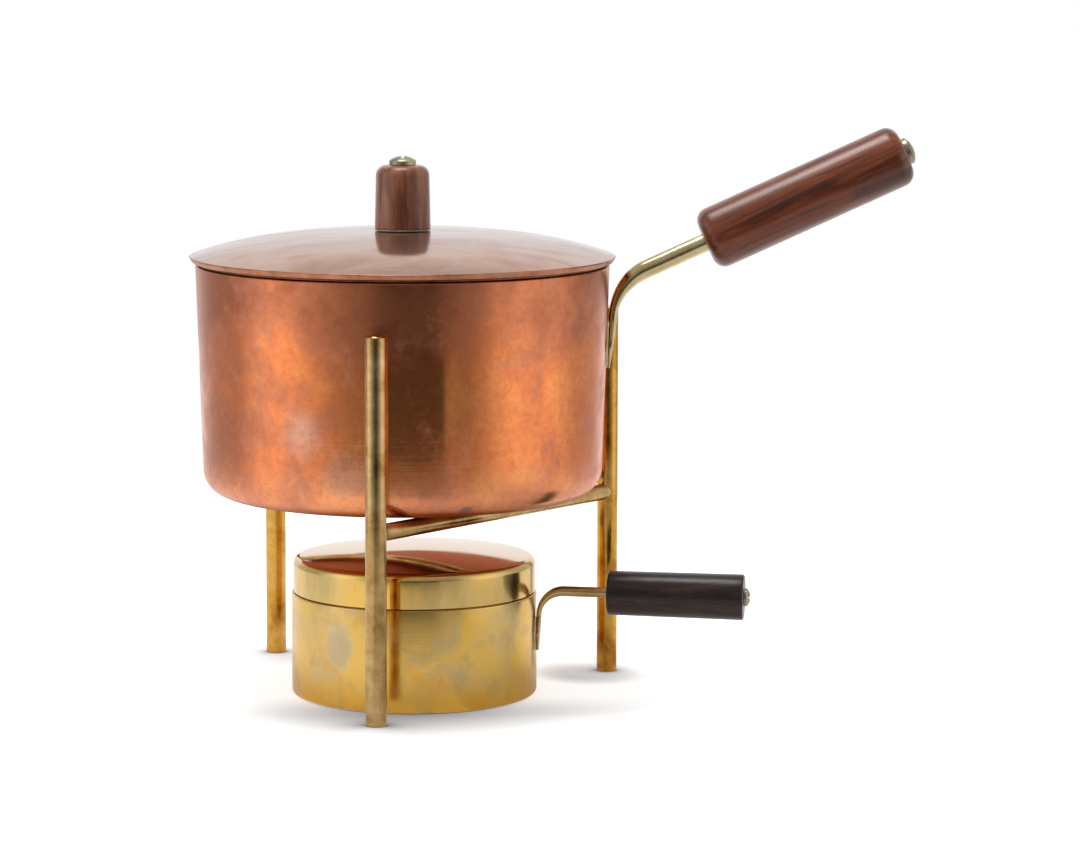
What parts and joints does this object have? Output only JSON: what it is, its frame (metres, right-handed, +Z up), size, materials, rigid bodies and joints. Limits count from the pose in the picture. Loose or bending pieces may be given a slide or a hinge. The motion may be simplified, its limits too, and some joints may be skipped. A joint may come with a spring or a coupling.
{
  "type": "fondue_pot_with_burner",
  "caption": "Copper fondue pot with a domed lid and a wooden handle, on a brass stand of three round legs, over a brass spirit burner with its cap on.",
  "frame": {"origin": "On the pot's axis at the level of the table, inside the burner's flat base.", "axes": "+X points to the pot handle's side and is the longest extent, +Z is up, and +Y runs from the front leg's side to the back."},
  "size_m": [0.2806, 0.1701, 0.2171],
  "materials": {
    "copper": null,
    "stand_brass": "satin brass rod",
    "burner_brass": "drawn brass sheet with grey-brown tarnish spots",
    "handle_brass": "polished pale brass rod",
    "screw_brass": "dull brass, slotted heads",
    "rosewood": "waxed red-brown hardwood",
    "dark_rosewood": "waxed near-black hardwood",
    "wadding": "absorbent mineral wool",
    "gauze": "woven wire"
  },
  "bodies": {
    "stand": {"stand_leg_front": "stand_brass", "stand_leg_right": "stand_brass", "stand_leg_rear": "stand_brass", "stand_cross_bar": "stand_brass", "stand_stem_bar": "stand_brass"},
    "pot": {"pot_shell": "copper", "pot_handle_rod": "handle_brass", "pot_handle_grip": "rosewood", "pot_handle_screw": "screw_brass"},
    "lid": {"lid_disc": "copper", "lid_locating_ring": "copper", "lid_knob_washer": "screw_brass", "lid_knob": "rosewood", "lid_knob_screw": "screw_brass", "lid_knob_nut": "screw_brass"},
    "burner": {"burner_can": "burner_brass", "burner_neck_ring": "burner_brass", "burner_wadding": "wadding", "burner_gauze": "gauze", "burner_gauze_ring": "burner_brass", "burner_handle_rod": "handle_brass", "burner_handle_grip": "dark_rosewood", "burner_handle_screw": "screw_brass"},
    "burner_cap": {"burner_cap": "burner_brass"}
  },
  "joints": [
    {"name": "pot_lift", "type": "slide", "parent": "stand", "child": "pot", "axis": [0, 0, 1], "range_m": [0, 0.08]},
    {"name": "lid_lift", "type": "slide", "parent": "pot", "child": "lid", "axis": [0, 0, 1], "range_m": [0, 0.05]},
    {"name": "burner_slide", "type": "slide", "parent": "stand", "child": "burner", "axis": [0.7641, -0.6451, 0], "range_m": [0, 0.12]},
    {"name": "cap_lift", "type": "slide", "parent": "burner", "child": "burner_cap", "axis": [0, 0, 1], "range_m": [0, 0.011]}
  ]
}
